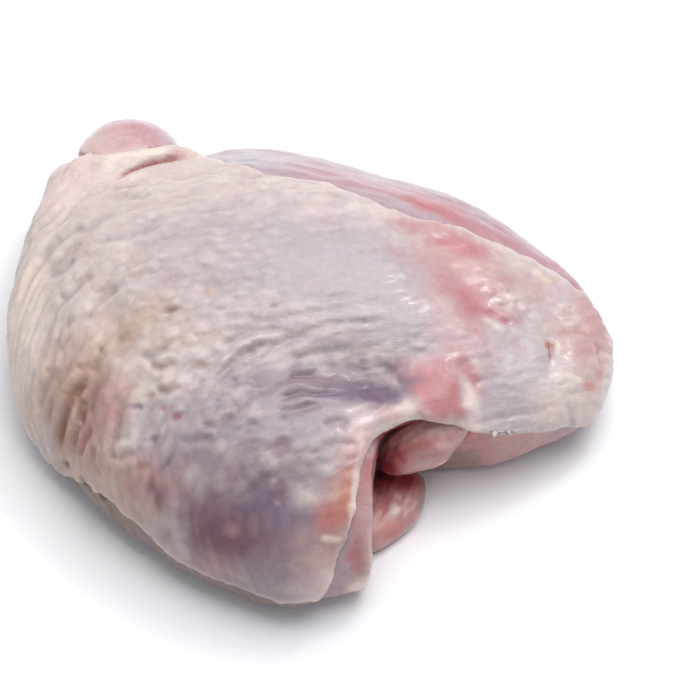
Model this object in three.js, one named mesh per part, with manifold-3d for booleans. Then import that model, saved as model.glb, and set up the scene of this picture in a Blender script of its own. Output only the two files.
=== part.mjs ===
// A raw turkey thigh with its skin on, lying skin side up on its cut side.
// Millimetres, +Z up. The hip end is at -X, the knee end at +X, the thick front edge at -Y and the
// bare back edge at +Y. The origin is on the table, under the middle of the whole piece.

import * as THREE from 'three';
import { mergeVertices } from 'three/addons/utils/BufferGeometryUtils.js';
import Module from 'manifold-3d';

const wasm = await Module();
wasm.setup();

// ---- Driving dimensions -------------------------------------------------------------------------

const SKIN_THICKNESS = 2.4;
const GAP = 0.4; // clear space between one piece and the next

// The widest line of the thigh, seen from above: x, y and its height over the table.
const THIGH_RIM = {
  hipCorner: [-81.5, 70.5, 18.5],
  hipSide: [-87.6, 51, 17],
  leftMiddle: [-90.6, 25.5, 15],
  leftWaist: [-91, 0, 12],
  leftFoot: [-83.5, -29, 10],
  frontLeft: [-59.5, -57, 8],
  frontMiddle: [-29.5, -80, 7],
  frontLobe: [-5, -89.4, 6],
  lobeCorner: [14, -87, 6],
  bayMouth: [34, -74, 5],
  bayMiddle: [52, -58, 5],
  bayKnee: [69, -44, 6],
  kneeFoot: [85, -27.5, 8],
  kneeEnd: [90.8, -6, 13],
  kneeTop: [88, 15, 16],
  backKnee: [70, 39.5, 15],
  backMiddle: [49, 57.5, 15],
  backValley: [27, 66, 15],
  backHump: [2, 76, 15],
  backHip: [-22, 80, 16],
  hipNotch: [-44, 74, 17],
  hipBack: [-62, 74, 18],
};

// Swells and hollows of the upper face, on a crown of CROWN_HEIGHT: centre x and y, height,
// the reach along and across, and the turn of the long way from +X in degrees.
const CROWN_HEIGHT = 43;
const SWELLS = {
  middleRidge: [-22, 4, 4.5, 52, 30, -12],
  hipFall: [-70, 62, -10, 44, 32, 20],
  kneeFall: [78, 4, -12, 34, 48, 0],
  lobeValley: [16, -31, -6, 28, 11, 4],
  frontLobe: [-14, -56, 2, 30, 14, 8],
  archFall: [52, -44, -5, 26, 12, 10],
  kneeCap: [38, -35, 2.8, 9, 10, -35],
  kneeKnuckle: [78, -15, 3, 9, 9, 0],
  backFall: [20, 62, -6, 60, 14, -24],
};

// Rolls and creases of the skin's outer face: from x, y to x, y, then height and half width.
const FOLDS = {
  hipRoll: [-74, 62, -42, 68.5, 2.6, 3.4],
  hipSlit: [-62, 53, -39, 63, -1.6, 2],
  hipLip: [-64, 48.5, -44, 56, 0.9, 3],
  footCreaseOuter: [-71, -22, -78, -38, -1.2, 3.6],
  footCreaseInner: [-61, -29, -67, -46, -1.3, 3.6],
  waistCrease: [-78, 16, -81, -8, -1, 4],
  sideCrease: [-60, -2, -54, -24, -0.9, 4.5],
  lobeCrease: [-47, -38, -41, -58, -0.8, 4],
  valleyFold: [-8, -29, 22, -31, -0.8, 4],
  valleyLip: [-2, -39, 24, -41, 0.8, 5],
  kneeRidge: [44, 24, 60, 2, 1.1, 6],
  kneeDip: [36, 16, 50, -8, -0.8, 5],
  kneeSlit: [71, -13, 71, -20.5, -1.3, 2.8],
};

// The skin ends along these lines, each given from left to right as x and y.
const SKIN_BACK_EDGE = [
  [-96, 74],
  [-80, 71],
  [-69, 70],
  [-53, 71],
  [-40, 70.5],
  [-28, 61],
  [-17, 49.5],
  [-2, 44.5],
  [7, 42],
  [22, 32],
  [33, 28.8],
  [51, 28],
  [64, 24],
  [75, 18.5],
  [87, 10],
  [96, 5],
];
const SKIN_LOBE_END = [
  [10.8, -95],
  [11.4, -81.5],
  [14, -76],
  [14.7, -71],
  [17, -57.5],
];
const ARCH_EDGE = [
  [20.5, -51.5],
  [26, -46.8],
  [34, -44.8],
  [44, -44.6],
  [55, -44],
  [64, -40.5],
  [75, -35.4],
  [83, -31],
  [97, -23],
];

// The meat of the front lobe reaches a little past its skin. Under the arch it stands back from
// the skin's edge.
const MEAT_LOBE_END = [
  [11.4, -95],
  [13.6, -86],
  [16.6, -82.4],
  [17.8, -78],
  [18, -70],
  [18.2, -57.5],
];
const ARCH_RECESS = 5;

// The skin's opening under the thigh, as a share of the rim's distance. It runs past the rim along
// the bay, between the first and last of these headings in degrees.
const UNDERSIDE_OPENING = 0.88;
const BAY_OPENING = 1.05;
const BAY_HEADINGS = [-75, -68, -20, -8];
const OPENING_HEIGHT = 9;

const HOLLOW = { centre: [27, -46, 11], radii: [12, 12, 15] };
const KNEE_MUSCLE = { centre: [33, -41, 17.8], radii: [14.8, 8, 7.4], turn: [0, -29, 15] };
const HIP_MUSCLE = { centre: [-59.5, 71.5, 17.5], radii: [17.5, 18.2, 12], turn: [0, 4, 3] };

const FLAP_RIM = {
  underLobe: [4, -56, 3],
  backLeft: [12, -43, 4],
  backRight: [32.5, -42.5, 4.5],
  tip: [34, -50.5, 3.5],
  frontRight: [28.5, -61, 3],
  frontLeft: [16, -68.5, 2.5],
};
const FLAP_HEIGHT = 7.5;

// How the side of a pillow shape rounds over. The even part spaces the facets over the flat top,
// and the rest gathers them at the steep side. An inset fades out where the underside flattens.
const PROFILE_POWER = 2.4;
const EVEN_PART = 0.78;
const FADE_START = 0.6;
const BELLY_DROP = 2;
const RIM_TURN = THREE.MathUtils.degToRad(108);

// How finely each piece and each cutting line is faceted.
const SKIN_DETAIL = 22;
const MEAT_DETAIL = 10;
const MUSCLE_DETAIL = 4;
const FLAP_DETAIL = 4;
const BACK_STEPS = 60;
const ARCH_STEPS = 50;
const LOBE_STEPS = 14;
const OPENING_STEPS = 90;

const FINISHES = {
  skin: { color: '#dcc8c8', roughness: 0.45 },
  thigh_meat: { color: '#c9a4ae', roughness: 0.4 },
  hip_muscle: { color: '#d2a8b1', roughness: 0.4 },
  knee_muscle: { color: '#b97b80', roughness: 0.35 },
  under_flap: { color: '#bb8184', roughness: 0.4 },
};

// ---- Solids and meshes --------------------------------------------------------------------------

const SAME_POINT = 1e-4;

function roundBall(detail) {
  const ball = new THREE.IcosahedronGeometry(1, detail);
  ball.deleteAttribute('normal');
  ball.deleteAttribute('uv');
  return mergeVertices(ball, SAME_POINT);
}

function solidOf(geometry) {
  geometry.deleteAttribute('normal');
  geometry.deleteAttribute('uv');
  const merged = mergeVertices(geometry, SAME_POINT);
  const vertProperties = new Float32Array(merged.attributes.position.array);
  const triVerts = new Uint32Array(merged.index.array);
  return new wasm.Manifold(new wasm.Mesh({ numProp: 3, vertProperties, triVerts }));
}

function meshOf(name, solid) {
  const { vertProperties, triVerts } = solid.getMesh();
  const geometry = new THREE.BufferGeometry();
  geometry.setAttribute('position', new THREE.BufferAttribute(vertProperties, 3));
  geometry.setIndex(new THREE.BufferAttribute(triVerts, 1));
  geometry.computeVertexNormals();
  const material = new THREE.MeshStandardMaterial({ ...FINISHES[name], metalness: 0 });
  const mesh = new THREE.Mesh(geometry, material);
  mesh.name = name;
  return mesh;
}

function smoothLine(points, steps) {
  const curve = new THREE.SplineCurve(points.map(([x, y]) => new THREE.Vector2(x, y)));
  return curve.getPoints(steps).map((point) => [point.x, point.y]);
}

// An upright prism over a plan outline, from one height to another.
function prism(outline, low, high) {
  const shape = new THREE.Shape(outline.map(([x, y]) => new THREE.Vector2(x, y)));
  const geometry = new THREE.ExtrudeGeometry(shape, { depth: high - low, bevelEnabled: false });
  geometry.translate(0, 0, low);
  return solidOf(geometry);
}

function muscle({ centre, radii, turn = [0, 0, 0] }, growth) {
  const ball = roundBall(MUSCLE_DETAIL);
  const [tiltX, tiltY, turnZ] = turn.map(THREE.MathUtils.degToRad);
  const rotation = new THREE.Euler(tiltX, tiltY, turnZ);
  ball.scale(...radii.map((radius) => radius + growth));
  ball.applyMatrix4(new THREE.Matrix4().makeRotationFromEuler(rotation));
  ball.translate(...centre);
  return solidOf(ball);
}

// ---- Pillow shapes ------------------------------------------------------------------------------
// The thigh and the flap are pillows: a ball whose top is drawn over a crown and whose lower part
// closes under the rim, towards the table.

// Distance from the middle and height of a closed rim line, looked up by heading.
const RIM_STEPS = 720;

function rimLookup(stations) {
  const points = Object.values(stations).map((station) => new THREE.Vector3(...station));
  const curve = new THREE.CatmullRomCurve3(points, true, 'centripetal');
  const middle = points.reduce((sum, point) => sum.add(point), new THREE.Vector3());
  middle.divideScalar(points.length).setZ(0);
  const samples = curve.getPoints(RIM_STEPS).slice(1).map((point) => {
    const away = point.sub(middle);
    const heading = Math.atan2(away.y, away.x);
    return { heading, distance: Math.hypot(away.x, away.y), height: away.z };
  });
  samples.sort((a, b) => a.heading - b.heading);
  const last = samples[samples.length - 1];
  samples.unshift({ ...last, heading: last.heading - 2 * Math.PI });
  samples.push({ ...samples[1], heading: samples[1].heading + 2 * Math.PI });

  function at(heading) {
    const next = samples.findIndex((sample) => sample.heading > heading);
    const before = samples[next - 1];
    const after = samples[next];
    const share = (heading - before.heading) / (after.heading - before.heading);
    return {
      distance: THREE.MathUtils.lerp(before.distance, after.distance, share),
      height: THREE.MathUtils.lerp(before.height, after.height, share),
    };
  }
  return { middle, at };
}

// Reach and height of the side profile, both from 0 to 1, at a share of the way from the middle to
// the rim.
function sideProfile(share) {
  const turn = (Math.PI / 2) * THREE.MathUtils.lerp(share ** 3, share, EVEN_PART);
  const reach = Math.sin(turn) ** (2 / PROFILE_POWER);
  const height = Math.max(Math.cos(turn), 0) ** (2 / PROFILE_POWER);
  return { reach, height };
}

// The inset draws the whole face inwards, down to where the underside nears the table.
function pillow(rim, crownAt, detail, inset) {
  const ball = roundBall(detail);
  const { position } = ball.attributes;
  const ray = new THREE.Vector3();
  for (let i = 0; i < position.count; i += 1) {
    ray.fromBufferAttribute(position, i).normalize();
    const heading = Math.atan2(ray.y, ray.x);
    const turn = Math.acos(ray.z);
    const edge = rim.at(heading);
    const above = turn <= RIM_TURN;
    const share = above
      ? Math.sin(turn / 2) / Math.sin(RIM_TURN / 2)
      : Math.cos(turn / 2) / Math.cos(RIM_TURN / 2);
    const profile = sideProfile(share);
    const distance = profile.reach * (edge.distance - inset);
    const x = rim.middle.x + distance * Math.cos(heading);
    const y = rim.middle.y + distance * Math.sin(heading);
    const fade = THREE.MathUtils.smoothstep(profile.reach, FADE_START, UNDERSIDE_OPENING);
    const lift = inset * fade;
    const z = above
      ? edge.height + (crownAt(x, y) - inset - edge.height) * profile.height
      : edge.height - (edge.height + BELLY_DROP - lift) * profile.height;
    position.setXYZ(i, x, y, z);
  }
  return ball;
}

function swellAt(x, y, [centreX, centreY, height, along, across, degrees]) {
  const turn = THREE.MathUtils.degToRad(degrees);
  const alongPart = (x - centreX) * Math.cos(turn) + (y - centreY) * Math.sin(turn);
  const acrossPart = (y - centreY) * Math.cos(turn) - (x - centreX) * Math.sin(turn);
  return height * Math.exp(-((alongPart / along) ** 2) - (acrossPart / across) ** 2);
}

function thighCrown(x, y) {
  const swells = Object.values(SWELLS).map((swell) => swellAt(x, y, swell));
  return swells.reduce((sum, swell) => sum + swell, CROWN_HEIGHT);
}

function foldAt(x, y, [startX, startY, endX, endY, height, halfWidth]) {
  const start = new THREE.Vector3(startX, startY, 0);
  const end = new THREE.Vector3(endX, endY, 0);
  const point = new THREE.Vector3(x, y, 0);
  const nearest = new THREE.Line3(start, end).closestPointToPoint(point, true, new THREE.Vector3());
  return height * Math.exp(-((nearest.distanceTo(point) / halfWidth) ** 2));
}

// Moves each point of an upper face along its own normal by the folds that pass it.
function raiseFolds(geometry) {
  geometry.computeVertexNormals();
  const { position, normal } = geometry.attributes;
  for (let i = 0; i < position.count; i += 1) {
    const point = new THREE.Vector3().fromBufferAttribute(position, i);
    const outward = new THREE.Vector3().fromBufferAttribute(normal, i);
    if (outward.z > 0) {
      const heights = Object.values(FOLDS).map((fold) => foldAt(point.x, point.y, fold));
      const lift = heights.reduce((sum, height) => sum + height, 0);
      point.addScaledVector(outward, lift);
      position.setXYZ(i, point.x, point.y, point.z);
    }
  }
  return geometry;
}

const thighRim = rimLookup(THIGH_RIM);
const flapRim = rimLookup(FLAP_RIM);
const thigh = (detail, inset) => pillow(thighRim, thighCrown, detail, inset);
const flapPillow = (growth) => pillow(flapRim, () => FLAP_HEIGHT + growth, FLAP_DETAIL, -growth);

// ---- Cuts ---------------------------------------------------------------------------------------

const FAR = 130; // past the whole piece, each way
const BELOW = -30;
const ABOVE = 90;

function tableCut() {
  return prism([[-FAR, -FAR], [FAR, -FAR], [FAR, FAR], [-FAR, FAR]], BELOW, 0);
}

function backCut() {
  const edge = smoothLine(SKIN_BACK_EDGE, BACK_STEPS);
  return prism([...edge, [FAR, FAR], [-FAR, FAR]], BELOW, ABOVE);
}

// The bay between the front lobe and the knee, open towards the front and the knee.
function bayCut(lobeEnd, recess) {
  const lobe = smoothLine(lobeEnd, LOBE_STEPS);
  const arch = smoothLine(ARCH_EDGE, ARCH_STEPS).map(([x, y]) => [x, y + recess]);
  return prism([...lobe, ...arch, [FAR, -FAR], [lobe[0][0], -FAR]], BELOW, ABOVE);
}

function undersideCut() {
  const [start, full, fading, end] = BAY_HEADINGS.map(THREE.MathUtils.degToRad);
  const outline = [];
  for (let step = 0; step < OPENING_STEPS; step += 1) {
    const heading = (step / OPENING_STEPS) * 2 * Math.PI - Math.PI;
    const intoBay = THREE.MathUtils.smoothstep(heading, start, full);
    const outOfBay = THREE.MathUtils.smoothstep(heading, fading, end);
    const share = THREE.MathUtils.lerp(UNDERSIDE_OPENING, BAY_OPENING, intoBay - outOfBay);
    const distance = thighRim.at(heading).distance * share;
    outline.push([
      thighRim.middle.x + distance * Math.cos(heading),
      thighRim.middle.y + distance * Math.sin(heading),
    ]);
  }
  return prism(outline, BELOW, OPENING_HEIGHT);
}

// ---- Pieces -------------------------------------------------------------------------------------

function makeSkin() {
  const outside = solidOf(raiseFolds(thigh(SKIN_DETAIL, 0)));
  const inside = solidOf(thigh(MEAT_DETAIL, SKIN_THICKNESS));
  const shell = outside.subtract(inside).subtract(undersideCut());
  return shell.subtract(backCut()).subtract(bayCut(SKIN_LOBE_END, 0));
}

function makeThighMeat() {
  const body = solidOf(thigh(MEAT_DETAIL, SKIN_THICKNESS + GAP)).subtract(tableCut());
  return body
    .subtract(bayCut(MEAT_LOBE_END, ARCH_RECESS))
    .subtract(muscle(HOLLOW, 0))
    .subtract(muscle(KNEE_MUSCLE, GAP))
    .subtract(solidOf(flapPillow(GAP)));
}

function makeHipMuscle() {
  return muscle(HIP_MUSCLE, 0).subtract(solidOf(raiseFolds(thigh(SKIN_DETAIL, -GAP))));
}

// The muscle swells up to the skin and stays inside it.
function makeKneeMuscle() {
  const room = solidOf(thigh(MEAT_DETAIL, SKIN_THICKNESS + GAP));
  return muscle(KNEE_MUSCLE, 0).intersect(room);
}

function makeUnderFlap() {
  return solidOf(flapPillow(0)).subtract(tableCut());
}

const group = new THREE.Group();
group.add(meshOf('skin', makeSkin()));
group.add(meshOf('thigh_meat', makeThighMeat()));
group.add(meshOf('hip_muscle', makeHipMuscle()));
group.add(meshOf('knee_muscle', makeKneeMuscle()));
group.add(meshOf('under_flap', makeUnderFlap()));

export default group;
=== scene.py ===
"""A raw turkey thigh with its skin on, dressed over its fixed frame.

The skin, the meat under it and three bare muscles each stand for the solid of their own. Places in
this file are millimetres in the frame: +Z up, the knee end at +X and the thick front edge at -Y.
"""

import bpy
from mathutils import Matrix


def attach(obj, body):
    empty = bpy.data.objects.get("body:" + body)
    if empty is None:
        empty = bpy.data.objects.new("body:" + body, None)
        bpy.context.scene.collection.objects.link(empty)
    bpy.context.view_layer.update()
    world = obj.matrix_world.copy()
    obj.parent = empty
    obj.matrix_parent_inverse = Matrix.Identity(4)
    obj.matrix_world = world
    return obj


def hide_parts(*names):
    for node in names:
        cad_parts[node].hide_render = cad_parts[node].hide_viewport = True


bl_info = {
    "name": "Raw turkey thigh",
    "version": (1, 0, 0),
    "blender": (4, 5, 0),
    "location": "View3D > Sidebar > Turkey thigh",
    "description": "Adds the skin, meat and muscles of a raw turkey thigh to its frame",
    "category": "Add Mesh",
}

import math
import random
from collections import namedtuple
from itertools import starmap

import bpy
import numpy as np
from mathutils import Vector, kdtree, noise

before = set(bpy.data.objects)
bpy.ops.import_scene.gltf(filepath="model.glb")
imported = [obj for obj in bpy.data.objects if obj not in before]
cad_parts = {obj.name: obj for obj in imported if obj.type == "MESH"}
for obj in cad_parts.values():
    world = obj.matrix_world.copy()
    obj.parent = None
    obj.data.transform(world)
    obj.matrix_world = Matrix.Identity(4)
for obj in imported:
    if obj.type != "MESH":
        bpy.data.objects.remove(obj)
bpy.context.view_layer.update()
MM = 0.001


def linear(hex_colour):
    """Linear RGB of an sRGB hex colour."""
    shares = [int(hex_colour[i : i + 2], 16) / 255 for i in (1, 3, 5)]
    return tuple(s / 12.92 if s <= 0.04045 else ((s + 0.055) / 1.055) ** 2.4 for s in shares)


# ---- What a user would change ----


def length_property(name, description, millimetres):
    return bpy.props.FloatProperty(
        name=name, description=description, default=millimetres * MM, unit="LENGTH", precision=4
    )


def colour_property(name, description, hex_colour):
    return bpy.props.FloatVectorProperty(
        name=name, description=description, default=linear(hex_colour), subtype="COLOR", size=3
    )


class ThighSizes(bpy.types.PropertyGroup):
    """Sizes of the relief of the skin and meat."""

    skin_thickness: length_property("Skin thickness", "Skin with its fat", 2.0)
    edge_rounding: length_property("Edge rounding", "Radius of the skin's cut edge", 1.0)
    bump_spacing: length_property("Goose bump spacing", "From one goose bump to the next", 3.9)
    bump_height: length_property("Goose bump height", "Height of a full goose bump", 0.65)
    ridge_spacing: length_property("Ridge spacing", "Across the soft ridges of slack skin", 6.0)
    ridge_height: length_property("Ridge height", "Height of the soft ridges", 0.9)
    crease_depth: length_property("Crease depth", "Depth of the fine creases", 0.5)
    unevenness: length_property("Unevenness", "Height of the wide soft lumps", 0.55)
    fibre_width: length_property("Fibre width", "Width of a bundle of muscle fibres", 1.8)
    fibre_height: length_property("Fibre height", "Relief of the muscle fibres", 0.2)


class ThighColours(bpy.types.PropertyGroup):
    """Colours of the skin, fat and meat."""

    pale_skin: colour_property("Pale skin", "Thick skin with fat under it", "#cfc0bb")
    cream: colour_property("Cream", "Fat along a cut edge", "#e6d6c9")
    blush: colour_property("Blush", "Pale pink skin at the hip", "#e2ccc8")
    sand: colour_property("Sand", "Yellowish fat under the skin", "#c6b09d")
    grey_lilac: colour_property("Grey lilac", "Skin over pale meat", "#b9acad")
    cool_grey: colour_property("Cool grey", "Thin skin over the flat top", "#ada3a8")
    # Partly painted shade: grey lilac of thin skin, darkened where shade falls in a trough.
    trough: colour_property("Trough", "Bottom of a soft trough", "#a99b9c")
    lilac: colour_property("Lilac", "Thin skin over dark meat", "#9c8f98")
    mauve: colour_property("Mauve", "Skin of the front lobe", "#8f7a87")
    plum: colour_property("Plum", "Thin skin over a vein", "#6d596b")
    wine: colour_property("Wine", "Bruise on the front lobe", "#7f5a68")
    tan: colour_property("Tan", "Skin of the foot's folds", "#c2a292")
    foot_rose: colour_property("Foot rose", "Reddened skin between the folds", "#b58d88")
    brown: colour_property("Brown", "Bottom of a deep crease", "#8a6655")
    brick: colour_property("Brick", "Blood in a follicle or a scratch", "#93403f")
    rose: colour_property("Rose", "Meat that shows through thin skin", "#b4767c")
    faint_rose: colour_property("Faint rose", "A wide blush of thin skin", "#bb9192")
    lobe_beige: colour_property("Lobe beige", "Fatty skin under the lobe's end", "#c2a29d")
    orange_fat: colour_property("Orange fat", "Fat that shows at the lobe's end", "#b97a62")
    # Painted shade: the shadow under the skin's lower edge, in its notches and where meat meets the
    # table.
    rim_brown: colour_property("Rim brown", "Fat below the skin's lower edge", "#8d7973")
    pale_meat: colour_property("Pale meat", "Muscle under silver skin", "#b0999f")
    pink_meat: colour_property("Pink meat", "Bare pink muscle", "#c5a0a4")
    muscle_pink: colour_property("Muscle pink", "Lump of muscle under the arch", "#f4c2bd")
    flap_rose: colour_property("Flap rose", "Flap of meat on the table", "#c08684")
    red_meat: colour_property("Red meat", "Fresh cut meat", "#b8605f")
    deep_red: colour_property("Deep red", "Wet meat in the hollow", "#a03038")
    # Painted shade over wet red meat, deep in the hollow under the arch.
    dark_red: colour_property("Dark red", "Blood in the hollow", "#560f16")
    membrane: colour_property("Membrane", "Bluish silver skin on the meat", "#c1b9c1")


class ThighStage(bpy.types.PropertyGroup):
    """Camera and light."""

    lens: bpy.props.FloatProperty(
        name="Lens", description="Focal length of the camera", default=90.0, unit="CAMERA"
    )
    key_power: bpy.props.FloatProperty(
        name="Key light", description="Power of the soft light above", default=7.4, unit="POWER"
    )
    glint_power: bpy.props.FloatProperty(
        name="Glint light", description="Power of the small light", default=0.7, unit="POWER"
    )
    sky_strength: bpy.props.FloatProperty(
        name="Sky", description="Strength of the white surroundings", default=0.46
    )


# ---- Where things are on the skin ----

# The edge of an oval area is soft over this share of its size, if it doesn't say otherwise.
SOFT_EDGE = 0.6

# How strong the goose bumps, soft ridges and fine creases are, and how wet the skin is: the whole
# skin first, then oval areas with their middle, their reach along and across, and their turn.
PLAIN_RELIEF = (0.65, 0.6, 0.3, 0.2)
ReliefArea = namedtuple("ReliefArea", "x y z length width turn strengths")
RELIEF_AREAS = [
    (-66, 20, 34, 34, 24, 40, (0.45, 1.0, 0.35, 0.2)),
    (-24, 12, 45, 28, 26, 0, (0.7, 0.6, 0.35, 0.2)),
    (-64, -38, 26, 24, 16, 60, (0.35, 0.8, 0.5, 0.25)),
    (-28, -38, 38, 30, 14, 25, (0.6, 0.75, 0.5, 0.35)),
    (2, -30, 40, 26, 12, 8, (0.25, 0.5, 0.8, 0.45)),
    (-4, -54, 37, 26, 12, 8, (0.4, 0.45, 0.3, 0.6)),
    (-14, -72, 28, 28, 15, -10, (0.35, 0.2, 0.1, 0.6)),
    (4, -84, 20, 16, 14, 0, (0.15, 0.25, 0.1, 0.5)),
    (24, 4, 43, 36, 24, -16, (0.15, 0.2, 0.12, 0.4)),
    (60, -10, 30, 32, 34, 0, (0.2, 0.12, 0.08, 0.75)),
    (44, 12, 37, 14, 12, -14, (0.08, 0.25, 0.05, 0.35)),
    (59, 1, 31.5, 8, 7, -20, (0.6, 0.35, 0.2, 1.0)),
    (76, 6, 26, 12, 12, 0, (0.45, 0.2, 0.1, 0.7)),
    (37, -36, 34, 12, 10, -40, (0.0, 0.1, 0.0, 0.5)),
    (-53, 57, 30, 20, 9, 20, (0.1, 0.15, 0.0, 0.35)),
]

# A patch is an oval area of a colour. Its edge is soft, and it may rise or sink by some mm.
Patch = namedtuple("Patch", "x y z length width turn colour strength soft rise", defaults=(SOFT_EDGE, 0))

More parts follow.
